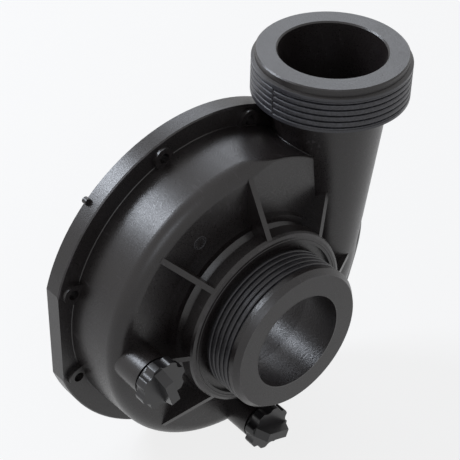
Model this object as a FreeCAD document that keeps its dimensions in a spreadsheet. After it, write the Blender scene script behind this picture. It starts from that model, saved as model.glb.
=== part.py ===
import FreeCAD, Part
import math
import os
import re
import Sketcher
from FreeCAD import Placement, Rotation, Vector

# Front half of a close-coupled volute pump, moulded in one piece, with two hand-turned
# drain plugs and their sealing rings. Millimetres. The Y axis is the shaft and suction axis, the
# suction port faces -Y, the back face of the flange is the plane y = 0 and +Z is up.

SIZES = [
    # flange
    ("flange_radius", 89.9, "rim of the screw flange"),
    ("flange_thick", 9.1, "flange thickness"),
    ("flange_flat", 86.0, "axis to the flat on the left of the rim"),
    ("rim_bevel", 0.6, "bevel of the rim's front edge"),
    ("screw_ring", 82.8, "radius of the screw circle"),
    ("screw_radius", 2.6, "screw hole"),
    ("screw_angle", 18.0, "screw hole from the quarter lines, degrees"),
    ("pad_radius", 5.1, "raised pad round a screw hole"),
    ("pad_high", 2.5, "height of the pad"),
    ("nub_angle", 133.4, "place of the nub on the rim, degrees"),
    ("nub_ring", 90.7, "shaft axis to the nub's centre"),
    ("nub_radius", 1.7, "nub on the rim"),
    ("nub_long", 2.6, "length of the nub"),
    # drum
    ("drum_radius", 79.7, "drum where it leaves the flange"),
    ("drum_front_radius", 78.7, "drum at its front face, before rounding"),
    ("drum_depth", 42.0, "back face to the front face of the drum"),
    ("drum_round", 7.4, "rounding of the drum's front edge"),
    ("drum_sharp", 1.2, "its rounding beside the discharge neck"),
    ("sharp_start", 92.0, "where the rounding starts to tighten, degrees"),
    ("sharp_full", 78.0, "where it is tightest, degrees"),
    ("sharp_end", 15.0, "where it starts to widen again, degrees"),
    ("round_full", -15.0, "where it is full again, degrees"),
    ("wall", 4.0, "wall of the drum"),
    # hub and collar
    ("step_radius", 49.3, "step ring on the front face"),
    ("step_high", 3.3, "height of the step ring"),
    ("hub_radius", 46.0, "hub where it leaves the step ring"),
    ("hub_waist", 42.4, "hub where it meets the collar"),
    ("collar_back", 50.0, "back face to the rear of the collar"),
    ("collar_radius", 46.7, "collar"),
    ("collar_front", 58.0, "back face to the front of the collar"),
    ("collar_round", 2.0, "rounding of the collar's front edge"),
    ("hub_core", 41.6, "hollow of the hub at the front wall"),
    ("hub_core_front", 38.0, "hollow of the hub at its front end"),
    ("collar_wall", 4.0, "front wall of the collar"),
    ("lip_radius", 41.6, "inside of the collar's lip"),
    ("lip_high", 2.0, "height of the lip over the floor inside it"),
    # ports
    ("suction_face", 79.1, "back face to the suction face"),
    ("port_face_radius", 35.8, "outer edge of a port's face"),
    ("crest_radius", 38.1, "crest of the union thread"),
    ("core_radius", 36.0, "core under the turns of the union thread"),
    ("lead_in", 2.8, "length of the suction thread's lead-in"),
    ("pilot_radius", 36.4, "plain pilot ahead of the discharge thread"),
    ("pilot_bevel", 0.6, "bevel between the discharge face and the pilot"),
    ("pilot_long", 3.5, "discharge face to the end of the pilot"),
    ("pilot_rise", 0.7, "length of the rise from the pilot to the crest"),
    ("first_crest", 5.4, "port face to the end of the thread's first crest"),
    ("last_crest", 1.4, "length of the discharge thread's last crest"),
    ("suction_bore", 24.87, "bore of the suction port"),
    ("eye_depth", 44.0, "back face to the end of the eye ring"),
    ("eye_bore", 24.3, "bore of the eye ring at its end"),
    ("eye_taper", 58.0, "back face to where the bore starts to narrow to the eye"),
    ("eye_wall", 3.8, "wall of the eye ring"),
    ("neck_wall", 3.5, "wall under the suction thread"),
    ("neck_core_end", 4.2, "end wall of the suction neck"),
    ("discharge_axis", 61.4, "shaft axis to the discharge axis"),
    ("discharge_back", 27.8, "back face to the discharge axis"),
    ("discharge_face", 112.0, "shaft axis to the discharge face"),
    ("discharge_thread", 21.6, "length of the discharge thread"),
    ("neck_radius", 19.34, "discharge neck at the height of the shaft"),
    ("neck_taper", 0.104, "growth of the neck's radius with height"),
    ("discharge_bore", 25.9, "bore of the discharge port at its face"),
    ("bore_chamfer", 0.7, "chamfer at the mouth of the discharge bore"),
    ("horn_end_radius", 13.6, "end of the spiral horn, outside"),
    ("horn_end_bore", 9.0, "end of the spiral horn, inside"),
    ("horn_sweep", 75.0, "sweep of the spiral horn below the shaft, degrees"),
    # back of the chamber
    ("register_radius", 77.2, "register bore for the back plate"),
    ("register_depth", 5.0, "depth of the register bore"),
    # ribs
    ("rib_count", 8, "ribs round the hub"),
    ("rib_thick", 2.8, "thickness of a rib"),
    ("rib_reach", 73.0, "outer end of a rib"),
    ("rib_high", 56.8, "back face to the top of a rib at the collar"),
    ("rib_root", 0.4, "hub's waist to the inner end of a rib"),
    # drain bosses and plugs
    ("left_boss_in", 12.6, "drum's radius to the axis of the left drain boss"),
    ("low_boss_in", 9.4, "drum's radius to the axis of the lower drain boss"),
    ("boss_radius", 10.2, "outside of a drain boss"),
    ("boss_front", 55.0, "back face to the rim of a drain boss"),
    ("boss_root", 8.0, "front face of the drum to the inner end of a boss"),
    ("drain_radius", 6.3, "shank of a drain plug"),
    ("drain_fit", 0.05, "radial clearance of the shank in its bore"),
    ("shank_long", 12.6, "length of the shank below the head"),
    ("shank_bevel", 0.8, "bevel at the shank's end"),
    ("drain_hole", 3.0, "hole at the bottom of the boss"),
    ("drain_floor", 3.0, "floor left under the tapped bore"),
    ("seal_inside", 7.2, "inside radius of the sealing ring"),
    ("seal_outside", 8.6, "outside radius of the sealing ring"),
    ("seal_thick", 1.2, "thickness of the sealing ring"),
    ("seal_gap", 0.05, "clearance of the ring on both faces"),
    ("skirt_radius", 10.4, "skirt of a plug's head"),
    ("skirt_high", 1.2, "height of the skirt"),
    ("knob_radius", 12.2, "lobes of the knob"),
    ("knob_high", 5.4, "height of the lobed part"),
    ("lobe_count", 8, "lobes of the knob"),
    ("lobe_round", 1.5, "rounding of a lobe's corners"),
    ("scallop_radius", 3.4, "scallop between two lobes"),
    ("scallop_ring", 14.0, "plug axis to a scallop's centre"),
    ("bar_wide", 4.8, "width of the grip bar across the face"),
    ("bar_high", 6.6, "height of the grip bar over the lobed part"),
    ("bar_flat", 13.4, "length of the bar's level top"),
    ("bar_foot", 20.6, "length of the bar at its foot"),
    ("left_turn", 107.0, "turn of the left plug when seated, degrees"),
    ("low_turn", 341.0, "turn of the lower plug when seated, degrees"),
]
NAMES = set(name for name, value, note in SIZES)
LEFT_BOSS = "(drum_radius - left_boss_in)"
LOW_BOSS = "(drum_radius - low_boss_in)"

doc = FreeCAD.newDocument("volute_pump_casing")
sheet = doc.addObject("Spreadsheet::Sheet", "sizes")
for row, (name, value, note) in enumerate(SIZES, 1):
    sheet.set("A%d" % row, name)
    sheet.set("B%d" % row, str(value))
    sheet.setAlias("B%d" % row, name)
    sheet.set("C%d" % row, note)
doc.recompute()


def size(name):
    return float(sheet.get(name))


def bound(text):
    """An expression in which every size named is read from the sheet."""
    return re.sub(r"[a-z_]+", lambda m: "sizes." + m.group(0) if m.group(0) in NAMES else m.group(0),
                  str(text))


def origin_part(body, role):
    return [f for f in body.Origin.OriginFeatures if f.Role == role][0]


def new_sketch(body, name, plane, place=None):
    """A sketch on one of the body's own planes; place maps placement fields to expressions."""
    sketch = body.newObject("Sketcher::SketchObject", name)
    sketch.AttachmentSupport = [(origin_part(body, plane), "")]
    sketch.MapMode = "FlatFace"
    place = dict(place or {})
    if "Axis" in place:
        sketch.AttachmentOffset = Placement(Vector(), Rotation(place.pop("Axis"), 0.001))
    for field, text in place.items():
        sketch.setExpression("AttachmentOffset." + field, bound(text))
    return sketch


def pin_point(sketch, geo, pos, x, y, near=(1.0, 1.0)):
    for kind, text, start in (("DistanceX", x, near[0]), ("DistanceY", y, near[1])):
        number = sketch.addConstraint(Sketcher.Constraint(kind, -1, 1, geo, pos, start))
        sketch.setExpression("Constraints[%d]" % number, bound(text))


def outline(sketch, points):
    """A closed outline whose corners are tied to expressions."""
    count = len(points)
    spots = [Vector(50 * math.cos(2 * math.pi * i / count), 50 * math.sin(2 * math.pi * i / count), 0)
             for i in range(count)]
    first = sketch.GeometryCount
    for i in range(count):
        sketch.addGeometry(Part.LineSegment(spots[i], spots[(i + 1) % count]), False)
    for i in range(count):
        after = first + (i + 1) % count
        sketch.addConstraint(Sketcher.Constraint("Coincident", first + i, 2, after, 1))
    for i, (x, y) in enumerate(points):
        pin_point(sketch, first + i, 1, x, y)


def circle(sketch, x, y, radius):
    geo = sketch.addGeometry(Part.Circle(Vector(1, 1, 0), Vector(0, 0, 1), 5.0), False)
    pin_point(sketch, geo, 3, x, y)
    number = sketch.addConstraint(Sketcher.Constraint("Radius", geo, 5.0))
    sketch.setExpression("Constraints[%d]" % number, bound(radius))


def feature(body, kind, name, **settings):
    """A feature of the body; text settings are expressions, others are set as they are."""
    item = body.newObject("PartDesign::" + kind, name)
    for field, setting in settings.items():
        if isinstance(setting, str) and field not in ("Type",):
            item.setExpression(field, bound(setting))
        else:
            setattr(item, field, setting)
    body.Tip = item
    doc.recompute()
    return item


def spin(body, name, sketch, axis="H_Axis", cut=False):
    return feature(body, "Groove" if cut else "Revolution", name, Profile=sketch,
                   ReferenceAxis=(sketch, [axis]), Angle=360.0)


def around(body, name, originals, count, angle=360.0):
    return feature(body, "PolarPattern", name, Originals=originals, Angle=angle, Occurrences=count,
                   Axis=(origin_part(body, "Y_Axis"), [""]))


def ring_edges(base, radius, height, tolerance=0.02):
    """Names of the circular edges round the Y axis with this radius at this height."""
    names = []
    for number, edge in enumerate(base.Shape.Edges, 1):
        curve = edge.Curve
        if isinstance(curve, Part.Circle) and abs(curve.Radius - radius) < tolerance:
            centre = curve.Center
            if math.hypot(centre.x, centre.z) < tolerance and abs(centre.y - height) < tolerance:
                names.append("Edge%d" % number)
    return names


def angle_round(point):
    return math.degrees(math.atan2(point.z, point.x))


def turn_between(a, b):
    return abs((a - b + 180) % 360 - 180)


def make_blank():
    """Flange, drum, step ring, hub and collar, turned round the shaft axis.

    It is turned in four sectors, so that the rounding of the drum's front edge can change
    from one angle to the next: it is full round the left and the bottom and tight beside
    the discharge neck. Angles run from +X towards +Z.
    """
    sketch = doc.addObject("Sketcher::SketchObject", "TurnedOutline")
    sketch.Placement = Placement(Vector(), Rotation(Vector(0, 1, 0), Vector(0, 0, 1), Vector(1, 0, 0)))
    outline(sketch, [
        ("0", "0"),
        ("0", "flange_radius"),
        ("-flange_thick + rim_bevel", "flange_radius"),
        ("-flange_thick", "flange_radius - rim_bevel"),
        ("-flange_thick", "drum_radius"),
        ("-drum_depth", "drum_front_radius"),
        ("-drum_depth", "step_radius"),
        ("-drum_depth - step_high", "step_radius"),
        ("-drum_depth - step_high", "hub_radius"),
        ("-collar_back", "hub_waist"),
        ("-collar_back", "collar_radius"),
        ("-collar_front + collar_round", "collar_radius"),
        ("-collar_front + 0.3 * collar_round", "collar_radius - 0.3 * collar_round"),
        ("-collar_front", "collar_radius - collar_round"),
        ("-collar_front", "lip_radius"),
        ("-collar_front + lip_high", "lip_radius"),
        ("-collar_front + lip_high", "0"),
    ])
    sectors = []
    corners = ("sharp_start", "sharp_full", "sharp_end", "round_full", "sharp_start - 360")
    for number in range(4):
        sector = doc.addObject("Part::Revolution", "Sector%d" % number)
        sector.Source = sketch
        sector.Axis = Vector(0, -1, 0)
        sector.Solid = True
        start, end = corners[number:number + 2]
        sector.setExpression("Angle", bound("%s - (%s)" % (end, start)))
        sector.Placement = Placement(Vector(), Rotation(Vector(0, -1, 0), 0.001))
        sector.setExpression("Placement.Rotation.Angle", bound(start + " - 90"))
        sectors.append(sector)
    blank = doc.addObject("Part::MultiFuse", "Turned")
    blank.Shapes = sectors
    blank.Refine = False
    doc.recompute()

    # one rounding radius at each corner between the sectors
    radii = [(size("sharp_start"), size("drum_round")), (size("sharp_full"), size("drum_sharp")),
             (size("sharp_end"), size("drum_sharp")), (size("round_full"), size("drum_round"))]
    chosen = []
    for name in ring_edges(blank, size("drum_front_radius"), -size("drum_depth")):
        edge = blank.Shape.getElement(name)
        ends = []
        for parameter in (edge.FirstParameter, edge.LastParameter):
            angle = angle_round(edge.valueAt(parameter))
            ends.append(min((turn_between(angle, place), radius) for place, radius in radii)[1])
        chosen.append((int(name[4:]), ends[0], ends[1]))
    rounded = doc.addObject("Part::Fillet", "DrumRound")
    rounded.Base = blank
    rounded.Edges = chosen
    doc.recompute()
    return rounded


def make_casing():
    body = doc.addObject("PartDesign::Body", "Casing")
    body.Label = "volute_casing"
    body.BaseFeature = make_blank()
    doc.recompute()

    # suction neck, with the first crest of its thread over the core that carries the turns
    sketch = new_sketch(body, "SuctionOutline", "YZ_Plane")
    outline(sketch, [
        ("-suction_face", "0"),
        ("-suction_face", "port_face_radius"),
        ("-suction_face + lead_in", "crest_radius"),
        ("-suction_face + first_crest", "crest_radius"),
        ("-suction_face + first_crest", "core_radius"),
        ("-collar_front + lip_high + 1", "core_radius"),
        ("-collar_front + lip_high + 1", "0"),
    ])
    spin(body, "SuctionNeck", sketch)

    # discharge neck on its own upright axis, with the first and last crests of its thread
    place = {"Base.x": "discharge_axis", "Base.z": "discharge_back"}
    sketch = new_sketch(body, "DischargeOutline", "XZ_Plane", place)
    outline(sketch, [
        ("0", "0"),
        ("0", "discharge_face"),
        ("port_face_radius", "discharge_face"),
        ("pilot_radius", "discharge_face - pilot_bevel"),
        ("pilot_radius", "discharge_face - pilot_long"),
        ("crest_radius", "discharge_face - pilot_long - pilot_rise"),
        ("crest_radius", "discharge_face - first_crest"),
        ("core_radius", "discharge_face - first_crest"),
        ("core_radius", "discharge_face - discharge_thread + last_crest"),
        ("crest_radius", "discharge_face - discharge_thread + last_crest"),
        ("crest_radius", "discharge_face - discharge_thread"),
        ("neck_radius + neck_taper * (discharge_face - discharge_thread)",
         "discharge_face - discharge_thread"),
        ("neck_radius", "0"),
    ])
    spin(body, "DischargeNeck", sketch, "V_Axis")

    # spiral horn that carries the neck down round the drum
    def horn(name, kind, top, end):
        sections = []
        for step in range(4):
            share = step / 3.0
            place = {"Axis": Vector(0, 1, 0), "Rotation.Angle": "%s * horn_sweep" % share}
            section = new_sketch(body, "%sSection%d" % (name, step), "XY_Plane", place)
            circle(section, "discharge_axis", "-discharge_back",
                   "(%s) * %s + (%s) * %s" % (top, 1 - share, end, share))
            sections.append(section)
        doc.recompute()
        return feature(body, kind, name, Profile=sections[0], Sections=sections[1:])

    horn("Horn", "AdditiveLoft", "neck_radius", "horn_end_radius")

    # drain bosses
    for name, x, z in (("LeftBoss", "-" + LEFT_BOSS, "0"), ("LowBoss", "0", "-" + LOW_BOSS)):
        sketch = new_sketch(body, name + "Circle", "XZ_Plane", {"Base.z": "drum_depth - boss_root"})
        circle(sketch, x, z, "boss_radius")
        feature(body, "Pad", name, Profile=sketch, Length="boss_front - drum_depth + boss_root")

    # ribs from the collar to the rim of the drum
    sketch = new_sketch(body, "RibOutline", "XY_Plane", {"Base.z": "-rib_thick / 2"})
    outline(sketch, [
        ("hub_waist - rib_root", "-drum_depth + 1"),
        ("rib_reach", "-drum_depth + 1"),
        ("rib_reach", "-drum_depth"),
        ("collar_radius - 0.5", "-rib_high"),
        ("hub_waist - rib_root", "-rib_high"),
    ])
    rib = feature(body, "Pad", "Rib", Profile=sketch, Length="rib_thick")
    around(body, "Ribs", [rib], "rib_count")

    # raised pads round the screw holes
    pads = []
    for sign in (1, -1):
        name = "Pad%s" % ("Up" if sign > 0 else "Down")
        place = {"Axis": Vector(0, 0, 1), "Base.z": "flange_thick - 1",
                 "Rotation.Angle": "%s * screw_angle" % (sign if sign > 0 else "(-1)")}
        sketch = new_sketch(body, name + "Round", "XZ_Plane", place)
        circle(sketch, "screw_ring", "0", "pad_radius")
        pads.append(feature(body, "Pad", name, Profile=sketch, Length="pad_high + 1"))
        sketch = new_sketch(body, name + "Square", "XZ_Plane", place)
        outline(sketch, [
            ("drum_radius - 2", "-pad_radius"),
            ("screw_ring", "-pad_radius"),
            ("screw_ring", "pad_radius"),
            ("drum_radius - 2", "pad_radius"),
        ])
        pads.append(feature(body, "Pad", name + "Web", Profile=sketch, Length="pad_high + 1"))
    around(body, "Pads", pads, "4")

    # nub on the rim
    place = {"Axis": Vector(0, 0, 1), "Rotation.Angle": "nub_angle"}
    sketch = new_sketch(body, "NubCircle", "XZ_Plane", place)
    circle(sketch, "nub_ring", "0", "nub_radius")
    feature(body, "Pad", "Nub", Profile=sketch, Length="nub_long")

    # flat on the left of the rim
    sketch = new_sketch(body, "FlatOutline", "XZ_Plane", {"Base.z": "-1"})
    outline(sketch, [
        ("-flange_radius - 5", "-flange_radius / 2"),
        ("-flange_flat", "-flange_radius / 2"),
        ("-flange_flat", "flange_radius / 2"),
        ("-flange_radius - 5", "flange_radius / 2"),
    ])
    feature(body, "Pocket", "RimFlat", Profile=sketch, Length="flange_thick + pad_high + 2",
            Reversed=True)

    # chamber, hollow hub, eye ring and suction passage
    sketch = new_sketch(body, "ChamberOutline", "YZ_Plane")
    outline(sketch, [
        ("1", "0"),
        ("1", "register_radius"),
        ("-register_depth", "register_radius"),
        ("-register_depth", "drum_radius - wall"),
        ("-drum_depth + wall", "drum_front_radius - wall"),
        ("-drum_depth + wall", "hub_core"),
        ("-collar_front + collar_wall", "hub_core_front"),
        ("-collar_front + collar_wall", "core_radius - neck_wall"),
        ("-suction_face + neck_core_end", "core_radius - neck_wall"),
        ("-suction_face + neck_core_end", "suction_bore + eye_wall"),
        ("-eye_depth", "suction_bore + eye_wall"),
        ("-eye_depth", "eye_bore"),
        ("-eye_taper", "suction_bore"),
        ("-suction_face - 1", "suction_bore"),
        ("-suction_face - 1", "0"),
    ])
    chamber = spin(body, "Chamber", sketch, cut=True)
    if chamber.Shape.Volume > 0.8 * chamber.BaseFeature.Shape.Volume:
        raise RuntimeError("chamber left uncut")

    # conical bore of the discharge neck and the matching hollow of the horn
    place = {"Base.x": "discharge_axis", "Base.z": "discharge_back"}
    sketch = new_sketch(body, "DischargeBore", "XZ_Plane", place)
    outline(sketch, [
        ("0", "0"),
        ("0", "discharge_face + 1"),
        ("discharge_bore + bore_chamfer + 1", "discharge_face + 1"),
        ("discharge_bore", "discharge_face - bore_chamfer"),
        ("discharge_bore - neck_taper * discharge_face", "0"),
    ])
    spin(body, "DischargeHollow", sketch, "V_Axis", cut=True)
    horn("HornHollow", "SubtractiveLoft", "discharge_bore - neck_taper * discharge_face",
         "horn_end_bore")

    # tapped bores of the drain bosses and the small holes below them
    for name, x, z in (("Left", "-" + LEFT_BOSS, "0"), ("Low", "0", "-" + LOW_BOSS)):
        for part, radius, depth in (
                ("Bore", "drain_radius + drain_fit", "boss_front - drum_depth + wall - drain_floor"),
                ("Hole", "drain_hole", "boss_front - drum_depth + wall + 1")):
            sketch = new_sketch(body, name + part + "Circle", "XZ_Plane", {"Base.z": "boss_front"})
            circle(sketch, x, z, radius)
            feature(body, "Pocket", name + part, Profile=sketch, Length=depth)

    # screw holes
    holes = []
    for sign in ("1", "(-1)"):
        place = {"Axis": Vector(0, 0, 1), "Base.z": "flange_thick + pad_high + 1",
                 "Rotation.Angle": "%s * screw_angle" % sign}
        sketch = new_sketch(body, "ScrewCircle", "XZ_Plane", place)
        circle(sketch, "screw_ring", "0", "screw_radius")
        holes.append(feature(body, "Pocket", "ScrewHole", Profile=sketch,
                             Length="flange_thick + pad_high + 2"))
    around(body, "ScrewHoles", holes, "4")
    return body


def scallop_outline(sketch):
    """The cut between two lobes of a knob: a scallop whose ends run round the lobes' corners.

    A corner's arc touches the knob's rim from inside and the scallop from outside, so its
    centre and both touching points follow from the triangle of the three centres.
    """
    core = "(knob_radius - lobe_round)"
    reach = "(scallop_radius + lobe_round)"
    cosine = "((%s^2 + scallop_ring^2 - %s^2) / (2 * %s * scallop_ring))" % (core, reach, core)
    sine = "sin(acos(%s))" % cosine
    tip = ("knob_radius * " + cosine, "knob_radius * " + sine)
    join = ("(scallop_ring + (%s * %s - scallop_ring) * scallop_radius / %s)" % (core, cosine, reach),
            "%s * %s * scallop_radius / %s" % (core, sine, reach))
    outside = ("1.25 * " + tip[0], "1.25 * " + tip[1])

    inner = size("knob_radius") - size("lobe_round")
    ring = size("scallop_ring")
    between = size("scallop_radius") + size("lobe_round")
    turn = math.acos((inner ** 2 + ring ** 2 - between ** 2) / (2 * inner * ring))
    lean = math.atan2(inner * math.sin(turn), ring - inner * math.cos(turn))
    up = Vector(0, 0, 1)
    corner = Vector(inner * math.cos(turn), inner * math.sin(turn), 0)
    upper = Part.ArcOfCircle(Part.Circle(corner, up, size("lobe_round")), -lean, turn)
    valley = Part.ArcOfCircle(Part.Circle(Vector(ring, 0, 0), up, size("scallop_radius")),
                              math.pi - lean, math.pi + lean)
    lower = Part.ArcOfCircle(Part.Circle(Vector(corner.x, -corner.y, 0), up, size("lobe_round")),
                             -turn, lean)
    high = upper.EndPoint * 1.25
    low = lower.StartPoint * 1.25
    for shape in (upper, valley, lower, Part.LineSegment(lower.StartPoint, low),
                  Part.LineSegment(low, high), Part.LineSegment(high, upper.EndPoint)):
        sketch.addGeometry(shape, False)
    for first, first_end, second, second_end in ((0, 1, 1, 1), (1, 2, 2, 2), (2, 1, 3, 1), (3, 2, 4, 1),
                                                 (4, 2, 5, 1), (5, 2, 0, 2)):
        sketch.addConstraint(Sketcher.Constraint("Coincident", first, first_end, second, second_end))
    for geo, end, (x, y), side, near in (
            (0, 2, tip, "", upper.EndPoint), (0, 1, join, "", upper.StartPoint),
            (2, 2, join, "-", lower.EndPoint), (2, 1, tip, "-", lower.StartPoint),
            (4, 1, outside, "-", low), (4, 2, outside, "", high)):
        pin_point(sketch, geo, end, x, "%s(%s)" % (side, y), near)
    for geo, radius in ((0, "lobe_round"), (1, "scallop_radius"), (2, "lobe_round")):
        number = sketch.addConstraint(Sketcher.Constraint("Radius", geo, size(radius)))
        sketch.setExpression("Constraints[%d]" % number, bound(radius))


def make_plug(name, x, z, turn):
    """A drain plug, drawn with its seat at y = 0 and its axis on Y, then placed in its boss."""
    body = doc.addObject("PartDesign::Body", name)
    body.Label = name
    under = "(seal_thick + 2 * seal_gap)"
    back = under + " + skirt_high"
    face = under + " + skirt_high + knob_high"
    sketch = new_sketch(body, name + "_outline", "YZ_Plane")
    outline(sketch, [
        ("shank_long - %s" % under, "0"),
        ("shank_long - %s" % under, "drain_radius - shank_bevel"),
        ("shank_long - %s - shank_bevel" % under, "drain_radius"),
        ("-%s" % under, "drain_radius"),
        ("-%s" % under, "skirt_radius"),
        ("-(%s)" % back, "skirt_radius"),
        ("-(%s)" % back, "knob_radius"),
        ("-(%s)" % face, "knob_radius"),
        ("-(%s)" % face, "0"),
    ])
    spin(body, name + "_turned", sketch)

    # scallops between the lobes; the bar runs from lobe to lobe
    place = {"Axis": Vector(0, 0, 1), "Base.z": back, "Rotation.Angle": "180 / lobe_count"}
    sketch = new_sketch(body, name + "_scallop", "XZ_Plane", place)
    scallop_outline(sketch)
    scallop = feature(body, "Pocket", name + "_scallop_cut", Profile=sketch, Length="knob_high + 1",
                      Reversed=True)
    around(body, name + "_scallops", [scallop], "lobe_count")

    # grip bar across the face, whose ends slope down to the lobed part
    sketch = new_sketch(body, name + "_bar", "XY_Plane", {"Base.z": "-bar_wide / 2"})
    outline(sketch, [
        ("-bar_foot / 2", "-(%s)" % face),
        ("-bar_foot / 2", "-(%s) + knob_high / 2" % face),
        ("bar_foot / 2", "-(%s) + knob_high / 2" % face),
        ("bar_foot / 2", "-(%s)" % face),
        ("bar_flat / 2", "-(%s) - bar_high" % face),
        ("-bar_flat / 2", "-(%s) - bar_high" % face),
    ])
    feature(body, "Pad", name + "_bar_pad", Profile=sketch, Length="bar_wide")
    body.Placement = Placement(Vector(), Rotation(Vector(0, -1, 0), 0.001))
    body.setExpression("Placement.Base.x", bound(x))
    body.setExpression("Placement.Base.y", bound("-boss_front"))
    body.setExpression("Placement.Base.z", bound(z))
    body.setExpression("Placement.Rotation.Angle", bound(turn))
    return body


def make_seal(name, x, z):
    """The sealing ring under a plug's head."""
    rounds = []
    for side, radius, reach in (("outside", "seal_outside", "0"), ("inside", "seal_inside", "1")):
        disc = doc.addObject("Part::Cylinder", name + "_" + side)
        disc.Placement = Placement(Vector(), Rotation(Vector(1, 0, 0), 90))
        disc.setExpression("Radius", bound(radius))
        disc.setExpression("Height", bound("seal_thick + 2 * %s" % reach))
        disc.setExpression("Placement.Base.x", bound(x))
        disc.setExpression("Placement.Base.y", bound("-boss_front - seal_gap + %s" % reach))
        disc.setExpression("Placement.Base.z", bound(z))
        rounds.append(disc)
    ring = doc.addObject("Part::Cut", name)
    ring.Base, ring.Tool = rounds
    ring.Label = name
    return ring


pieces = [
    make_casing(),
    make_plug("drain_plug_left", "-" + LEFT_BOSS, "0", "left_turn"),
    make_plug("drain_plug_right", "0", "-" + LOW_BOSS, "low_turn"),
    make_seal("drain_seal_left", "-" + LEFT_BOSS, "0"),
    make_seal("drain_seal_right", "0", "-" + LOW_BOSS),
]
doc.recompute()

for item in doc.Objects:
    if "Invalid" in item.State or "Error" in item.State:
        raise RuntimeError("%s did not build: %s" % (item.Label, item.State))
for piece in pieces:
    if piece.Shape.isNull() or not piece.Shape.isValid() or len(piece.Shape.Solids) != 1:
        raise RuntimeError("%s is not one valid solid" % piece.Label)

os.makedirs("parts", exist_ok=True)
for piece in pieces:
    piece.Shape.exportStep(os.path.join("parts", piece.Label + ".step"))
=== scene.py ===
import math

import bpy
import numpy as np
from bpy.props import FloatProperty, FloatVectorProperty, IntProperty, PointerProperty
from mathutils import Matrix, Vector


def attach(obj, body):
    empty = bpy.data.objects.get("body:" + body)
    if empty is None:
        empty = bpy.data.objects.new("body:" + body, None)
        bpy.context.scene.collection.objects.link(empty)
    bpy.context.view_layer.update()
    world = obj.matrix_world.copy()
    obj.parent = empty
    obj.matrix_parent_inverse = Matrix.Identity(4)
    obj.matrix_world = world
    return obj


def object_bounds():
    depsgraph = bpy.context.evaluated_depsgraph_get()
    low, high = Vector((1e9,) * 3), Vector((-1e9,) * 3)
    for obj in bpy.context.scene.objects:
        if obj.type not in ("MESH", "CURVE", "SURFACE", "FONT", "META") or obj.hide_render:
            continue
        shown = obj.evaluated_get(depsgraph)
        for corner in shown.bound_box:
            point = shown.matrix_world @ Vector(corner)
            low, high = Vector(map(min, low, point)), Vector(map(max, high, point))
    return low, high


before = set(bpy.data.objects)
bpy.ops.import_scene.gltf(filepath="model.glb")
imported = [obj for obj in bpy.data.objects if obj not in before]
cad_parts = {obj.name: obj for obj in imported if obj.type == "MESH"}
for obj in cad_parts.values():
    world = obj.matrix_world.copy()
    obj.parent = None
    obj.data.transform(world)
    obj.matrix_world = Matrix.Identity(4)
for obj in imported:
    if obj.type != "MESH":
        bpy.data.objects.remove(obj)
CAD_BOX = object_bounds()

bl_info = {
    "name": "Volute pump casing",
    "version": (1, 0, 0),
    "blender": (4, 5, 0),
    "location": "View3D > Sidebar > Pump",
    "description": "Finishes and small moulded marks of a volute pump casing with two drain plugs",
    "category": "Object",
}

MM = 0.001
WHITE = (1.0, 1.0, 1.0, 1.0)

# The photograph's camera: where it stands, and its picture's right, down and ahead directions
CAMERA_PLACE = (-0.35014, -0.43061, 0.44572)
CAMERA_RIGHT = (0.76374, -0.64522, 0.01966)
CAMERA_DOWN = (-0.38157, -0.47581, -0.79247)
CAMERA_AHEAD = (0.52067, 0.59774, -0.60960)

# Edges that handling rubs, each with its radius and its place along its axis
RIM_EDGE = (89.4 * MM, -9.0 * MM)
COLLAR_EDGE = (45.6 * MM, -57.6 * MM)
SUCTION_EDGE = (35.8 * MM, CAD_BOX[0][1])
DISCHARGE_EDGE = (35.8 * MM, CAD_BOX[1][2])

# How far the casing's own last crest reaches beyond the turns of the discharge thread
LAST_CREST = 1.6 * MM

# Angles from +X towards +Z between which the drum's wall meets the flange, clear of the neck
DRUM_CREASE = (76.0, 284.0)

# How far behind the drum's front face the neck's crease ends
NECK_CREASE_END = 1.2 * MM

# Heights of the small raised forms, as shares of their widths
CREASE_HEIGHT = 0.34
COLLAR_LINE_HEIGHT = 0.3

# Heights of the dial's lines, and where a tick begins and ends in radii of the dial
DIAL_RING_HEIGHT = 0.15 * MM
DIAL_TICK_HEIGHT = 0.13 * MM
DIAL_TICK = (0.62, 0.86)

# The floor lies this far below the casing
FLOOR_GAP = 0.5 * MM

# The lamps aim here; each has its way from there, its distance, two sides in metres and its watts
LAMP_TARGET = (0.0, -0.03, 0.0)
LAMPS = (("back_left_softbox", (-0.39, 0.64, 0.66), 1.2, 0.42, 0.42, 9.2),
         ("back_right_softbox", (0.48, 0.60, 0.65), 1.2, 0.90, 0.44, 3.4),
         ("front_left_softbox", (-0.42, -0.71, 0.57), 1.5, 0.60, 0.60, 2.8))


# Sizes and colours


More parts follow.
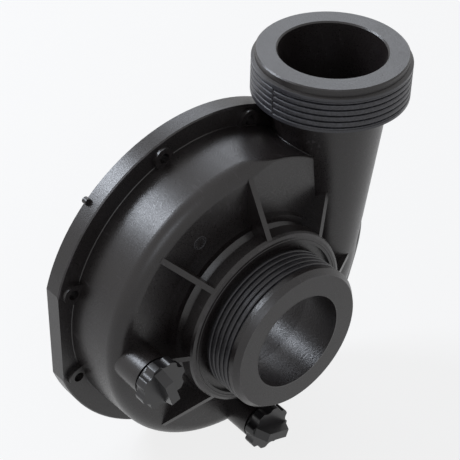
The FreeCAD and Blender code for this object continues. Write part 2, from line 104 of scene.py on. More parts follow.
class PumpPlastic(bpy.types.PropertyGroup):
    """Finish of the moulded casing"""

    colour: FloatVectorProperty(
        name="Colour", description="Base colour of the glass-filled plastic",
        default=(0.0130, 0.0102, 0.0100), size=3, min=0.0, max=1.0, subtype="COLOR")
    haze: FloatVectorProperty(
        name="Haze", description="Colour where the moulded skin has gone slightly pale",
        default=(0.0225, 0.0193, 0.0203), size=3, min=0.0, max=1.0, subtype="COLOR")
    roughness: FloatProperty(
        name="Roughness", description="Roughness of the moulded skin", default=0.33, min=0.0, max=1.0)
    grain: FloatProperty(
        name="Grain", description="Size of the skin's fine grain", default=0.45 * MM, min=0.0001,
        unit="LENGTH")
    relief: FloatProperty(
        name="Relief", description="Height of the fine grain", default=0.012 * MM, min=0.0,
        unit="LENGTH", precision=6)
    grit: FloatProperty(
        name="Grit", description="Height of the grit in the suction bore, in reliefs",
        default=9.0, min=0.0)
    bore: FloatProperty(
        name="Bore", description="Radius of the suction bore, whose skin is gritty",
        default=24.87 * MM, min=0.001, unit="LENGTH")
    wear_reach: FloatProperty(
        name="Wear reach", description="How far the rubbed look runs in from an edge", default=0.9 * MM,
        min=0.0, unit="LENGTH", precision=5)


class PumpPlug(bpy.types.PropertyGroup):
    """Finishes of the drain plugs and their sealing rings"""

    colour: FloatVectorProperty(
        name="Colour", description="Base colour of the drain plugs", default=(0.0125, 0.0115, 0.0122),
        size=3, min=0.0, max=1.0, subtype="COLOR")
    roughness: FloatProperty(
        name="Roughness", description="Roughness of the plugs", default=0.34, min=0.0, max=1.0)
    seal_colour: FloatVectorProperty(
        name="Ring colour", description="Base colour of the sealing rings",
        default=(0.006, 0.0058, 0.006), size=3, min=0.0, max=1.0, subtype="COLOR")


class PumpThread(bpy.types.PropertyGroup):
    """Sizes and colours of the union threads on both ports"""

    crest: FloatProperty(
        name="Crest", description="Radius of the union thread's crest", default=38.1 * MM, min=0.001,
        unit="LENGTH")
    core: FloatProperty(
        name="Core", description="Radius of the moulded core that carries the turns",
        default=36.0 * MM, min=0.001, unit="LENGTH")
    pitch: FloatProperty(
        name="Pitch", description="Pitch of the thread", default=3.07 * MM, min=0.0005, unit="LENGTH")
    turns: IntProperty(name="Turns", description="Turns of the groove", default=5, min=1)
    start: FloatProperty(
        name="Start", description="Port face to the middle of the first groove", default=6.5 * MM,
        min=0.0, unit="LENGTH")
    first_crest: FloatProperty(
        name="First crest", description="Port face to the end of the moulded first crest",
        default=5.4 * MM, min=0.0, unit="LENGTH")
    groove: FloatProperty(
        name="Groove", description="Half width of a groove", default=0.30 * MM, min=0.00005,
        unit="LENGTH")
    deep: FloatProperty(
        name="Depth", description="Depth of a groove", default=1.5 * MM, min=0.0, unit="LENGTH")
    crown: FloatProperty(
        name="Crown", description="Fall of a crest's shoulders below its middle", default=0.07 * MM,
        min=0.0, unit="LENGTH")
    suction_long: FloatProperty(
        name="Suction length", description="Suction face to the end of its thread",
        default=20.5 * MM, min=0.001, unit="LENGTH")
    discharge_long: FloatProperty(
        name="Discharge length", description="Discharge face to its thread's moulded last crest",
        default=20.2 * MM, min=0.001, unit="LENGTH")
    parting: FloatProperty(
        name="Parting", description="Half width of the parting line across the turns",
        default=0.30 * MM, min=0.0, unit="LENGTH")
    parting_deep: FloatProperty(
        name="Parting depth", description="Depth of the parting line", default=1.0 * MM, min=0.0,
        unit="LENGTH")
    rise: FloatProperty(
        name="Rise", description="Rise of a groove from one side of the parting line to the other",
        default=0.9 * MM, min=0.0, unit="LENGTH")
    # Painted sheen: the discharge crests are painted lighter than the suction's to stand in for the
    # light they catch, over their rubbed wear
    colour: FloatVectorProperty(
        name="Colour", description="Rubbed colour of the discharge thread's crests",
        default=(0.056, 0.0545, 0.063), size=3, min=0.0, max=1.0, subtype="COLOR")
    # Painted sheen: the suction crests are painted lighter than the casing to stand in for grazing
    # light, over their rubbed wear
    suction_wear_and_sheen: FloatVectorProperty(
        name="Suction colour", description="Rubbed colour of the suction thread's crests",
        default=(0.036, 0.0335, 0.0375), size=3, min=0.0, max=1.0, subtype="COLOR")


class PumpNeck(bpy.types.PropertyGroup):
    """Axis and cone of the discharge neck"""

    axis: FloatVectorProperty(
        name="Axis", description="A point on the upright axis of the discharge neck",
        default=(61.4 * MM, -27.8 * MM, 0.0), size=3, subtype="TRANSLATION")
    radius: FloatProperty(
        name="Radius", description="Radius of the neck at the height of the shaft",
        default=19.34 * MM, min=0.001, unit="LENGTH")
    taper: FloatProperty(name="Taper", description="Growth of its radius with height", default=0.104)


class PumpBeads(bpy.types.PropertyGroup):
    """Sizes of the small rounds in the creases and the collar's raised line"""

    drum: FloatProperty(
        name="Drum", description="Radius of the drum at the flange", default=79.7 * MM, min=0.001,
        unit="LENGTH")
    drum_front: FloatProperty(
        name="Drum front", description="Radius of the drum at its front face", default=78.7 * MM,
        min=0.001, unit="LENGTH")
    flange: FloatProperty(
        name="Flange", description="Thickness of the flange", default=9.1 * MM, min=0.0, unit="LENGTH")
    front: FloatProperty(
        name="Front", description="Back face to the front face of the drum", default=42.0 * MM,
        min=0.001, unit="LENGTH")
    crease: FloatProperty(
        name="Crease", description="Width of the small round in a crease", default=0.8 * MM,
        min=0.0001, unit="LENGTH")
    collar: FloatProperty(
        name="Collar", description="Radius of the raised line on the collar's face",
        default=43.3 * MM, min=0.001, unit="LENGTH")
    collar_front: FloatProperty(
        name="Collar front", description="Back face to the collar's face", default=58.0 * MM,
        min=0.001, unit="LENGTH")
    line: FloatProperty(
        name="Line", description="Width of the raised line", default=0.7 * MM, min=0.0001,
        unit="LENGTH")


class PumpDial(bpy.types.PropertyGroup):
    """Place, size and colour of the dial mark"""

    centre: FloatVectorProperty(
        name="Centre", description="Centre of the mould's dial mark on the front face",
        default=(-29.4 * MM, -42.0 * MM, 50.5 * MM), size=3, subtype="TRANSLATION")
    radius: FloatProperty(
        name="Radius", description="Radius of the dial mark", default=3.3 * MM, min=0.001, unit="LENGTH")
    line: FloatProperty(
        name="Line", description="Width of its raised lines", default=0.32 * MM, min=0.0001,
        unit="LENGTH")
    ticks: IntProperty(name="Ticks", description="Ticks round the dial", default=12, min=4)
    colour: FloatVectorProperty(
        name="Colour", description="Rubbed colour of the raised lines", default=(0.075, 0.074, 0.08),
        size=3, min=0.0, max=1.0, subtype="COLOR")


class PumpStage(bpy.types.PropertyGroup):
    """Lens, floor and light of the photograph"""

    lens: FloatProperty(
        name="Lens", description="Focal length on a 36 mm frame", default=110.79, min=10.0,
        subtype="DISTANCE_CAMERA")
    floor_colour: FloatVectorProperty(
        name="Floor", description="Colour of the floor", default=(0.86, 0.86, 0.865), size=3,
        min=0.0, max=1.0, subtype="COLOR")
    floor_size: FloatProperty(
        name="Floor size", description="Side of the square floor", default=8.0, min=1.0, unit="LENGTH")
    glow: FloatProperty(
        name="Glow", description="Share of the floor that shows plain white and takes no shadow",
        default=0.82, min=0.0, max=1.0, subtype="FACTOR")
    sky: FloatProperty(
        name="Sky", description="Strength of the even light all round", default=0.16, min=0.0)
    sky_colour: FloatVectorProperty(
        name="Sky colour", description="Colour of the even light all round",
        default=(0.97, 0.98, 1.0), size=3, min=0.0, max=1.0, subtype="COLOR")
    lamp_colour: FloatVectorProperty(
        name="Lamp colour", description="Colour of the soft lights", default=(0.84, 0.90, 1.0),
        size=3, min=0.0, max=1.0, subtype="COLOR")


# Helpers for materials


class Nodes:
    """A node tree of a new material or world, with short calls to add and join nodes."""

    def __init__(self, name, world=False):
        self.owner = (bpy.data.worlds if world else bpy.data.materials).new(name)
        self.owner.use_nodes = True
        self.tree = self.owner.node_tree
        self.tree.nodes.clear()
        self.output = self.add("ShaderNodeOutputWorld" if world else "ShaderNodeOutputMaterial")

    def add(self, kind, settings=None, **inputs):
        """A node with these settings and inputs; _0 is its first input, Base_Color its Base Color."""
        node = self.tree.nodes.new(kind)
        for field, setting in (settings or {}).items():
            setattr(node, field, setting)
        for field, value in inputs.items():
            key = int(field[1:]) if field[0] == "_" else field.replace("_", " ")
            self.put(node.inputs[key], value)
        return node

    def put(self, socket, value):
        """Joins another node's output to the socket, or sets the socket's own value."""
        if isinstance(value, bpy.types.NodeSocket):
            self.tree.links.new(value, socket)
        else:
            socket.default_value = value

    def math(self, operation, a, b=0.0):
        """The result of an operation on a, or on a and b."""
        return self.add("ShaderNodeMath", {"operation": operation}, _0=a, _1=b).outputs[0]

    def either(self, *shares):
        """The largest of the shares."""
        largest = shares[0]
        for share in shares[1:]:
            largest = self.math("MAXIMUM", largest, share)
        return largest

    def background_rays(self):
        """1 for rays of the camera, and for mirrored and passed ones, that show the background."""
        path = self.add("ShaderNodeLightPath").outputs
        return self.either(path["Is Camera Ray"], path["Is Glossy Ray"], path["Is Transmission Ray"])

    def shade(self, share, first, second):
        """A mix of two shaders."""
        return self.add("ShaderNodeMixShader", _0=share, _1=first.outputs[0], _2=second.outputs[0])

    def ramp(self, value, low, high):
        """Rises smoothly from 0 at low to 1 at high."""
        node = self.add("ShaderNodeMapRange", {"interpolation_type": "SMOOTHSTEP"}, Value=value,
                        From_Min=low, From_Max=high, To_Min=0.0, To_Max=1.0)
        return node.outputs[0]

    def between(self, value, low, high):
        """Goes evenly from low at 0 to high at 1."""
        node = self.add("ShaderNodeMapRange", {"clamp": True}, Value=value, From_Min=0.0,
                        From_Max=1.0, To_Min=low, To_Max=high)
        return node.outputs[0]

    def noise(self, place, size, detail=2.0, rough=0.5, stretch=None):
        """Noise whose patches are about this size in metres."""
        if stretch is not None:
            place = self.add("ShaderNodeMapping", Vector=place, Scale=stretch).outputs[0]
        node = self.add("ShaderNodeTexNoise", Vector=place, Scale=1.0 / size, Detail=detail,
                        Roughness=rough)
        return node.outputs[0]

    def mix(self, share, first, second):
        """A mix of two colours."""
        node = self.add("ShaderNodeMix", {"data_type": "RGBA"})
        self.put(node.inputs[0], share)
        self.put(node.inputs[6], first)
        self.put(node.inputs[7], second)
        return node.outputs[2]

    def finish(self, shader):
        """Joins the shader to the output and gives the finished material or world."""
        self.tree.links.new(shader.outputs[0], self.output.inputs[0])
        return self.owner


def rgba(colour, gain=1.0):
    """A colour, made lighter or darker, with the fourth value that sockets ask for."""
    return tuple(gain * value for value in colour) + (1.0,)


def wear(piece, material):
    """Gives a piece this one material."""
    piece.data.materials.clear()
    piece.data.materials.append(material)


def distance(kit, a, b):
    """How far it is to go a one way and then b square to it."""
    return kit.math("SQRT", kit.math("ADD", kit.math("MULTIPLY", a, a), kit.math("MULTIPLY", b, b)))


def near_circle(kit, across, along, circle, reach):
    """1 on a circle, given by its radius and height, and 0 beyond the reach from it.

    Across holds the two coordinates in the circle's plane, measured from its centre.
    """
    out = kit.math("SUBTRACT", distance(kit, *across), circle[0])
    away = distance(kit, out, kit.math("SUBTRACT", along, circle[1]))
    return kit.math("SUBTRACT", 1.0, kit.ramp(away, 0.25 * reach, reach))


def from_neck(kit, x, y):
    """The two level coordinates measured from the axis of the discharge neck."""
    axis = bpy.context.scene.pump_neck.axis
    return kit.math("SUBTRACT", x, axis[0]), kit.math("SUBTRACT", y, axis[1])


def rubbed_edges(kit, place, plastic):
    """Share of rubbed skin along the rim, the collar and the edges of both port faces."""
    x, y, z = kit.add("ShaderNodeSeparateXYZ", Vector=place).outputs
    reach = plastic.wear_reach
    share = kit.either(near_circle(kit, (x, z), y, RIM_EDGE, 1.4 * reach),
                       near_circle(kit, (x, z), y, COLLAR_EDGE, 1.2 * reach),
                       near_circle(kit, (x, z), y, SUCTION_EDGE, 0.8 * reach),
                       near_circle(kit, from_neck(kit, x, y), z, DISCHARGE_EDGE, 0.8 * reach))
    broken = kit.ramp(kit.noise(place, 6.0 * MM, 4.0, 0.6), 0.42, 0.66)
    return kit.math("MULTIPLY", share, broken)


def crest_share(kit, place):
    """1 on the crests at both ends of the discharge thread, and 0 elsewhere."""
    x, y, z = kit.add("ShaderNodeSeparateXYZ", Vector=place).outputs
    thread = bpy.context.scene.pump_thread
    out = distance(kit, *from_neck(kit, x, y))
    foot = CAD_BOX[1][2] - thread.discharge_long - LAST_CREST
    return kit.math("MULTIPLY", kit.ramp(out, thread.crest - 0.5 * MM, thread.crest - 0.1 * MM),
                    kit.math("GREATER_THAN", z, foot))


def bore_share(kit, place, bore):
    """1 in the suction bore, whose skin is gritty, and 0 outside it."""
    x, y, z = kit.add("ShaderNodeSeparateXYZ", Vector=place).outputs
    return kit.math("SUBTRACT", 1.0, kit.ramp(distance(kit, x, z), bore + 0.2 * MM, bore + 0.6 * MM))


def skin(kit, base, gloss, relief, height, ior=1.5):
    """The finished material of a surface with this colour, roughness and relief."""
    bump = kit.add("ShaderNodeBump", Strength=1.0, Distance=relief, Height=height)
    return kit.finish(kit.add("ShaderNodeBsdfPrincipled", Base_Color=base, Roughness=gloss, IOR=ior,
                              Normal=bump.outputs[0]))


def moulded_plastic(name, plastic):
    """Satin glass-filled plastic: fine grain, slow changes of gloss, pale haze, rubbed edges, and a
    painted sheen on the discharge thread's end crests.
    """
    kit = Nodes(name)
    place = kit.add("ShaderNodeTexCoord").outputs["Object"]
    grain = kit.noise(place, plastic.grain, 3.0, 0.6)
    flow = kit.noise(place, 35.0 * MM, 4.0, 0.55)
    haze = kit.noise(place, 12.0 * MM, 6.0, 0.62)
    scuff = kit.noise(place, 1.1 * MM, 2.0, 0.5, (1.0, 0.12, 0.35))
    base = kit.mix(kit.math("MULTIPLY", kit.ramp(haze, 0.50, 0.78), 0.55), rgba(plastic.colour),
                   rgba(plastic.haze))
    marks = kit.math("MULTIPLY", kit.ramp(scuff, 0.60, 0.72), kit.ramp(flow, 0.47, 0.62))
    base = kit.mix(kit.math("MULTIPLY", marks, 0.5), base, rgba(plastic.haze, 2.6))
    rubbed = rubbed_edges(kit, place, plastic)
    base = kit.mix(kit.math("MULTIPLY", rubbed, 0.7), base, rgba(plastic.haze, 2.4))
    # painted sheen: the casing's crests at both ends of the discharge thread take that thread's lighter
    # crest colour
    crest_wear_and_sheen = bpy.context.scene.pump_thread.colour
    base = kit.mix(crest_share(kit, place), base, rgba(crest_wear_and_sheen, 0.65))
    gloss = kit.between(flow, plastic.roughness - 0.07, plastic.roughness + 0.08)
    gloss = kit.math("ADD", gloss, kit.math("MULTIPLY", marks, 0.10))
    gloss = kit.math("ADD", gloss, kit.math("MULTIPLY", kit.math("SUBTRACT", grain, 0.5), 0.6))
    grit = kit.math("MULTIPLY", kit.noise(place, 2.2 * plastic.grain, 3.0, 0.65),
                    bore_share(kit, place, plastic.bore))
    height = kit.math("ADD", grain, kit.math("MULTIPLY", flow, 0.8))
    height = kit.math("ADD", height, kit.math("MULTIPLY", grit, plastic.grit))
    return skin(kit, base, gloss, plastic.relief, height)


def plug_plastic(name, plug):
    """Satin plastic of the plugs: fine grain, with slow changes of colour and gloss."""
    kit = Nodes(name)
    place = kit.add("ShaderNodeTexCoord").outputs["Object"]
    grain = kit.noise(place, 0.4 * MM, 3.0, 0.6)
    haze = kit.noise(place, 8.0 * MM, 5.0, 0.6)
    base = kit.mix(kit.math("MULTIPLY", kit.ramp(haze, 0.5, 0.8), 0.5), rgba(plug.colour),
                   rgba(plug.colour, 2.0))
    gloss = kit.between(haze, plug.roughness - 0.06, plug.roughness + 0.08)
    return skin(kit, base, gloss, 0.01 * MM, grain)


def ring_rubber(name, plug):
    """Dull black rubber with a faint bloom."""
    kit = Nodes(name)
    place = kit.add("ShaderNodeTexCoord").outputs["Object"]
    bloom = kit.noise(place, 3.0 * MM, 4.0, 0.6)
    base = kit.mix(kit.math("MULTIPLY", bloom, 0.4), rgba(plug.seal_colour),
                   rgba(plug.seal_colour, 2.2))
    return skin(kit, base, kit.between(bloom, 0.55, 0.75), 0.015 * MM, bloom, 1.45)


def pale_mark(name, colour):
    """Paler plastic of thread crests, painted lighter as a sheen over their rubbed wear, and of raised
    lines that are rubbed by handling.
    """
    kit = Nodes(name)
    place = kit.add("ShaderNodeTexCoord").outputs["Object"]
    patches = kit.noise(place, 1.2 * MM, 3.0, 0.6)
    # patches between a third of the colour and all of it; on thread crests this is painted sheen
    base = kit.mix(kit.ramp(patches, 0.35, 0.7), rgba(colour, 0.35), rgba(colour))
    return skin(kit, base, kit.between(patches, 0.35, 0.5), 0.01 * MM, patches)


# Helpers for surfaces


def make_piece(name, points, faces):
    """A smooth mesh from a grid's quads, linked to the scene.

    Points that coincide are made one. A quad that this leaves with three corners becomes a
    triangle, and one that it leaves without an area is dropped. Edges of 60 degrees or more
    stay sharp.
    """
    kept, same = np.unique(np.round(points, 8), axis=0, return_index=True, return_inverse=True)[1:]
    faces = same.reshape(-1)[faces]
    equal = faces == np.roll(faces, -1, axis=1)
    count = equal.sum(axis=1)
    polygons = faces[count == 0].tolist()
    for side in range(4):
        corners = [(side + 1) % 4, (side + 2) % 4, (side + 3) % 4]
        polygons += faces[(count == 1) & equal[:, side]][:, corners].tolist()
    mesh = bpy.data.meshes.new(name)
    mesh.from_pydata(points[kept].tolist(), [], polygons)
    mesh.update()
    mesh.polygons.foreach_set("use_smooth", [True] * len(mesh.polygons))
    mesh.set_sharp_from_angle(angle=math.radians(60.0))
    piece = bpy.data.objects.new(name, mesh)
    bpy.context.scene.collection.objects.link(piece)
    return piece


def grid_faces(rows, columns, wrap_rows, wrap_columns):
    """Quads of a grid of points; a wrapped direction joins its last line to its first."""
    i = np.arange(rows if wrap_rows else rows - 1)[:, None]
    j = np.arange(columns if wrap_columns else columns - 1)[None, :]
    a = i * columns + j
    b = i * columns + (j + 1) % columns
    c = ((i + 1) % rows) * columns + (j + 1) % columns
    d = ((i + 1) % rows) * columns + j
    return np.stack([a, b, c, d], axis=-1).reshape(-1, 4)


def bead(path, closed, across, up, width, height, steps=8):
    """A low rounded bead laid along a path, closed below and at its ends.

    At each point of the path the section is a half ellipse: its reach along the sideways
    direction is half the width times the cosine of an angle that runs from 0 to pi, and its
    reach along the upward direction is the height times the sine of that angle. The faces look
    outward whichever way round the path runs.
    """
    angle = np.linspace(0.0, math.pi, steps)
    side = 0.5 * width * np.cos(angle)
    rise = height * np.sin(angle)
    up = np.broadcast_to(up, path.shape)
    points = (path[:, None, :] + side[None, :, None] * across[:, None, :]
              + rise[None, :, None] * up[:, None, :])
    faces = grid_faces(len(path), steps, closed, True)
    if not closed:
        low = np.arange(steps // 2 - 1)
        cap = np.stack([low, low + 1, steps - 2 - low, steps - 1 - low], axis=1)
        faces = np.concatenate([faces, cap[:, ::-1], cap + (len(path) - 1) * steps])
    if np.dot(np.cross(path[1] - path[0], across[0]), up[0]) < 0.0:
        faces = faces[:, ::-1]
    return points.reshape(-1, 3), faces


def unit(rows):
    """The rows of vectors with their length made 1."""
    return rows / np.linalg.norm(rows, axis=-1, keepdims=True)


def round_shaft(turn):
    """Outward directions round the shaft at these angles from +X towards +Z."""
    return np.stack([np.cos(turn), 0.0 * turn, np.sin(turn)], axis=1)


def crease_bead(path, first, second, width):
    """A bead in the crease of two faces, whose outward directions are given along the path.

    Its upward direction is the sum of those two, made one long, and its sideways direction is
    square to that and to the path.
    """
    up = unit(first + second)
    across = unit(np.cross(np.gradient(path, axis=0), up))
    return bead(path, False, across, up, width, CREASE_HEIGHT * width)


def thread_sleeve(thread, long, columns=200):
    """The turns of a union thread as one closed grid round the port.

    Rows run along the axis and columns round it, from the parting line of the mould. A row's
    distance from the port face rises a little in its way round, and falls back at the parting
    line. With x the distance from the middle of the nearest groove, the radius is

        crest - deep * exp(-(x / groove)^2) - crown * (1 - 2 x / pitch)^2

    and the parting line is a narrow groove over all the rows, where the columns lie closest.
    Rows beyond either end lie on the end itself, at the radius of the core, and the last row
    joins the first along the core.
    """
    # rows, in pitches from the first groove, closest together in the grooves
    near = np.array([0.0, 0.035, 0.07, 0.105, 0.15, 0.21, 0.30, 0.40])
    step = np.concatenate([near, [0.5], 1.0 - near[:0:-1]])
    rows = np.concatenate([turn + step for turn in range(-1, thread.turns + 1)])
    # columns, as shares of a turn, closest together beside the parting line
    beside = np.array([0.0, 0.5, 1.0, 1.7, 2.6])
    width = thread.parting / (2.0 * math.pi * thread.crest)
    fine = width * beside
    turn = np.concatenate([fine, np.linspace(0.004, 0.996, columns), 1.0 - fine[:0:-1]])
    away = np.abs(rows - np.round(rows))[:, None] * thread.pitch
    parting = np.minimum(turn, 1.0 - turn) / width
    groove = (thread.deep * np.exp(-(away / thread.groove) ** 2)
              + thread.crown * (1.0 - 2.0 * away / thread.pitch) ** 2)
    # the grooves belong to the given turns, and the rows beyond them are plain
    cut = ((rows > -0.45) & (rows < thread.turns - 0.55))[:, None]
    radius = np.minimum(thread.crest - groove * cut,
                        thread.crest - thread.parting_deep * np.exp(-parting ** 2))
    rise = thread.rise * (turn - 0.5) * np.clip(parting / beside[-1], 0.0, 1.0)
    far = thread.start + rows[:, None] * thread.pitch + rise[None, :]
    ends = (thread.first_crest, long)
    radius = np.where((far < ends[0]) | (far > ends[1]), thread.core, radius)
    return np.clip(far, ends[0], ends[1]), radius, np.broadcast_to(2.0 * math.pi * turn, far.shape)


def lay_on_casing(name, points, faces, material):
    """A new piece of the casing's plastic that rides on the casing."""
    piece = make_piece(name, points, faces)
    wear(piece, material)
    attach(piece, "casing")


# Operators


class PUMP_OT_casing(bpy.types.Operator):
    """Gives the moulded casing its satin plastic"""
    bl_idname = "pump.casing"
    bl_label = "Casing finish"

    def execute(self, context):
        plastic = moulded_plastic("casing_plastic", context.scene.pump_plastic)
        wear(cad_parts["volute_casing"], plastic)
        return {"FINISHED"}


class PUMP_OT_drains(bpy.types.Operator):
    """Gives the drain plugs and their sealing rings their finishes"""
    bl_idname = "pump.drains"
    bl_label = "Drain plugs and rings"

    def execute(self, context):
        plug = plug_plastic("plug_plastic", context.scene.pump_plug)
        ring = ring_rubber("ring_rubber", context.scene.pump_plug)
        for side in ("left", "right"):
            wear(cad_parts["drain_plug_" + side], plug)
            wear(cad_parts["drain_seal_" + side], ring)
        return {"FINISHED"}


class PUMP_OT_threads(bpy.types.Operator):
    """Winds the turns of the union threads round both ports"""
    bl_idname = "pump.threads"
    bl_label = "Union threads"

    def execute(self, context):
        scene = context.scene
        thread = scene.pump_thread
        neck = scene.pump_neck
        # each sleeve's crest colour is a painted sheen over rubbed wear, lighter on the discharge thread
        for name, middle, inward, start, long, colour in (
                ("suction_thread", (0.0, CAD_BOX[0][1], 0.0), (0.0, 1.0, 0.0), (0.0, 0.0, -1.0),
                 thread.suction_long, thread.suction_wear_and_sheen),
                ("discharge_thread", (neck.axis[0], neck.axis[1], CAD_BOX[1][2]), (0.0, 0.0, -1.0),
                 (-1.0, -0.03, 0.0), thread.discharge_long, thread.colour)):
            far, radius, turn = thread_sleeve(thread, long)
            inward = np.array(inward)
            first = unit(np.array(start))
            second = np.cross(inward, first)
            # in from the port face as far as its row says, and out from the port's axis by the
            # radius, in the direction that the turn gives
            points = (np.array(middle) + far[..., None] * inward
                      + radius[..., None] * (np.cos(turn)[..., None] * first
                                             + np.sin(turn)[..., None] * second)).reshape(-1, 3)
            lay_on_casing(name, points, grid_faces(*far.shape, True, True),
                          pale_mark(name + "_plastic", colour))
        return {"FINISHED"}


class PUMP_OT_beads(bpy.types.Operator):
    """Lays the small rounds in the casing's creases and the raised line on the collar"""
    bl_idname = "pump.beads"
    bl_label = "Creases and lines"

    def execute(self, context):
        scene = context.scene
        beads = scene.pump_beads
        neck = scene.pump_neck
        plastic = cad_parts["volute_casing"].data.materials[0]
        out = round_shaft(np.linspace(0.0, 2.0 * math.pi, 160, endpoint=False))
        front = np.array([0.0, -1.0, 0.0])
        line = bead(beads.collar * out + beads.collar_front * front, True, out, front, beads.line,
                    COLLAR_LINE_HEIGHT * beads.line)
        foot = round_shaft(np.radians(np.linspace(*DRUM_CREASE, 150)))
        drum = crease_bead(beads.drum * foot + beads.flange * front, foot,
                           np.broadcast_to(front, foot.shape), beads.crease)
        for name, part in (("collar_line", line), ("drum_crease", drum),
                           ("neck_crease", self.neck_crease(beads, neck))):
            lay_on_casing(name, *part, plastic)
        return {"FINISHED"}

    def neck_crease(self, beads, neck):
        """The crease where the left side of the neck's cone comes out of the drum's wall.

        At each depth y the wall has the radius R, and at the height z the cone has the radius
        r. With the neck's axis at x = a and y = b, the point that lies on both has
        x = a - sqrt(r^2 - (y - b)^2) and z = sqrt(R^2 - x^2).
        """
        y = np.linspace(-beads.flange, -beads.front + NECK_CREASE_END, 60)
        share = (-y - beads.flange) / (beads.front - beads.flange)
        wall = beads.drum + (beads.drum_front - beads.drum) * share
        z = np.full_like(y, 0.9 * beads.drum)
        # each round brings x and z closer to that point
        for _ in range(12):
            x = neck.axis[0] - np.sqrt((neck.radius + neck.taper * z) ** 2 - (y - neck.axis[1]) ** 2)
            z = np.sqrt(wall ** 2 - x ** 2)
        path = np.stack([x, y, z], axis=1)
        off_drum = unit(np.stack([x, 0.0 * y, z], axis=1))
        off_neck = unit(np.stack([x - neck.axis[0], y - neck.axis[1], 0.0 * y], axis=1))
        return crease_bead(path, off_drum, off_neck, beads.crease)


class PUMP_OT_dial(bpy.types.Operator):
    """Lays the mould's small dial mark, a ring with ticks, on the front face"""
    bl_idname = "pump.dial"
    bl_label = "Dial mark"

    def execute(self, context):
        dial = context.scene.pump_dial
        centre = np.array(dial.centre)
        up = np.array([0.0, -1.0, 0.0])
        points = []
        faces = []
        count = 0

        def lay(part):
            """Adds one bead to the mark."""
            nonlocal count
            points.append(part[0])
            faces.append(part[1] + count)
            count += len(part[0])

        out = round_shaft(np.linspace(0.0, 2.0 * math.pi, 64, endpoint=False))
        lay(bead(centre + dial.radius * out, True, out, up, dial.line, DIAL_RING_HEIGHT))
        for number in range(dial.ticks):
            angle = 2.0 * math.pi * number / dial.ticks
            ray = np.array([math.cos(angle), 0.0, math.sin(angle)])
            across = np.array([[-math.sin(angle), 0.0, math.cos(angle)]] * 2)
            reach = np.array(DIAL_TICK)[:, None] * dial.radius
            lay(bead(centre + reach * ray, False, across, up, dial.line, DIAL_TICK_HEIGHT))
        lay_on_casing("dial_mark", np.concatenate(points), np.concatenate(faces),
                      pale_mark("pale_mark", dial.colour))
        return {"FINISHED"}


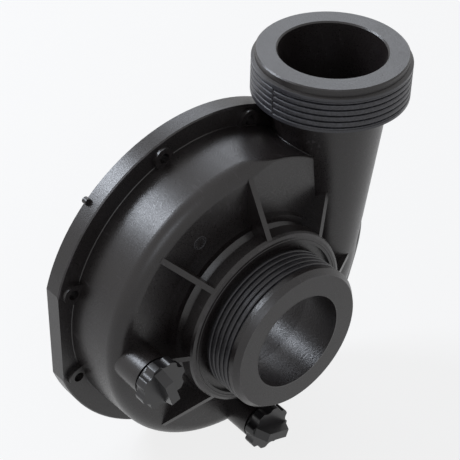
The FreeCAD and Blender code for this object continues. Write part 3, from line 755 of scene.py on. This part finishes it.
class PUMP_OT_stage(bpy.types.Operator):
    """Sets the floor, the soft lights, the even surround and the camera"""
    bl_idname = "pump.stage"
    bl_label = "Stage"

    def execute(self, context):
        scene = context.scene
        stage = scene.pump_stage
        scene.view_settings.view_transform = "Standard"
        self.floor(stage)
        self.surround(scene, stage)
        self.lamps(scene, stage)
        self.camera(scene, stage)
        return {"FINISHED"}

    def floor(self, stage):
        """A square of white paper that takes the casing's shadow, and glows in the picture."""
        half = 0.5 * stage.floor_size
        level = CAD_BOX[0][2] - FLOOR_GAP
        points = np.array([[-half, -half, level], [half, -half, level], [half, half, level],
                           [-half, half, level]])
        floor = make_piece("floor", points, np.array([[0, 1, 2, 3]]))
        kit = Nodes("floor_paper")
        share = kit.math("MULTIPLY", kit.background_rays(), stage.glow)
        paper = kit.add("ShaderNodeBsdfDiffuse", Color=rgba(stage.floor_colour))
        glow = kit.add("ShaderNodeEmission", Color=WHITE, Strength=1.0)
        wear(floor, kit.finish(kit.shade(share, paper, glow)))

    def surround(self, scene, stage):
        """An even light on the casing from all round, which the picture shows as plain white."""
        kit = Nodes("surround", world=True)
        even = kit.add("ShaderNodeBackground", Color=rgba(stage.sky_colour), Strength=stage.sky)
        white = kit.add("ShaderNodeBackground", Color=WHITE, Strength=1.0)
        scene.world = kit.finish(kit.shade(kit.background_rays(), even, white))

    def lamps(self, scene, stage):
        """Soft rectangular lights that aim at the casing."""
        target = Vector(LAMP_TARGET)
        for name, way, far, wide, tall, power in LAMPS:
            lamp = bpy.data.lights.new(name, "AREA")
            lamp.color = stage.lamp_colour
            lamp.shape = "RECTANGLE"
            lamp.size = wide
            lamp.size_y = tall
            lamp.energy = power
            item = bpy.data.objects.new(name, lamp)
            scene.collection.objects.link(item)
            item.location = target + far * Vector(way).normalized()
            item.rotation_euler = (target - item.location).to_track_quat("-Z", "Y").to_euler()

    def camera(self, scene, stage):
        """The photograph's camera, on a frame 36 mm wide."""
        camera = bpy.data.cameras.new("camera")
        camera.lens = stage.lens
        camera.sensor_width = 36.0
        camera.clip_end = 20.0
        item = bpy.data.objects.new("camera", camera)
        scene.collection.objects.link(item)
        rows = (Vector(CAMERA_RIGHT), -Vector(CAMERA_DOWN), -Vector(CAMERA_AHEAD))
        item.matrix_world = Matrix.Translation(CAMERA_PLACE) @ Matrix(rows).transposed().to_4x4()
        scene.camera = item


class PUMP_PT_panel(bpy.types.Panel):
    """Lists the pump's pieces and their sizes"""
    bl_label = "Volute pump casing"
    bl_idname = "PUMP_PT_panel"
    bl_space_type = "VIEW_3D"
    bl_region_type = "UI"
    bl_category = "Pump"

    def draw(self, context):
        for operator in OPERATORS:
            self.layout.operator(operator.bl_idname)
        for name, group in GROUPS:
            box = self.layout.box()
            for field in group.__annotations__:
                box.prop(getattr(context.scene, name), field)


OPERATORS = (PUMP_OT_casing, PUMP_OT_drains, PUMP_OT_threads, PUMP_OT_beads, PUMP_OT_dial,
             PUMP_OT_stage)
GROUPS = (("pump_plastic", PumpPlastic), ("pump_plug", PumpPlug), ("pump_thread", PumpThread),
          ("pump_neck", PumpNeck), ("pump_beads", PumpBeads), ("pump_dial", PumpDial),
          ("pump_stage", PumpStage))


def register():
    for name, group in GROUPS:
        bpy.utils.register_class(group)
        setattr(bpy.types.Scene, name, PointerProperty(type=group))
    for item in OPERATORS + (PUMP_PT_panel,):
        bpy.utils.register_class(item)


def unregister():
    for item in reversed(OPERATORS + (PUMP_PT_panel,)):
        bpy.utils.unregister_class(item)
    for name, group in reversed(GROUPS):
        delattr(bpy.types.Scene, name)
        bpy.utils.unregister_class(group)


def main():
    register()
    bpy.ops.pump.casing()
    bpy.ops.pump.drains()
    bpy.ops.pump.threads()
    bpy.ops.pump.beads()
    bpy.ops.pump.dial()
    bpy.ops.pump.stage()
    bpy.context.view_layer.update()


if __name__ == "__main__":
    main()
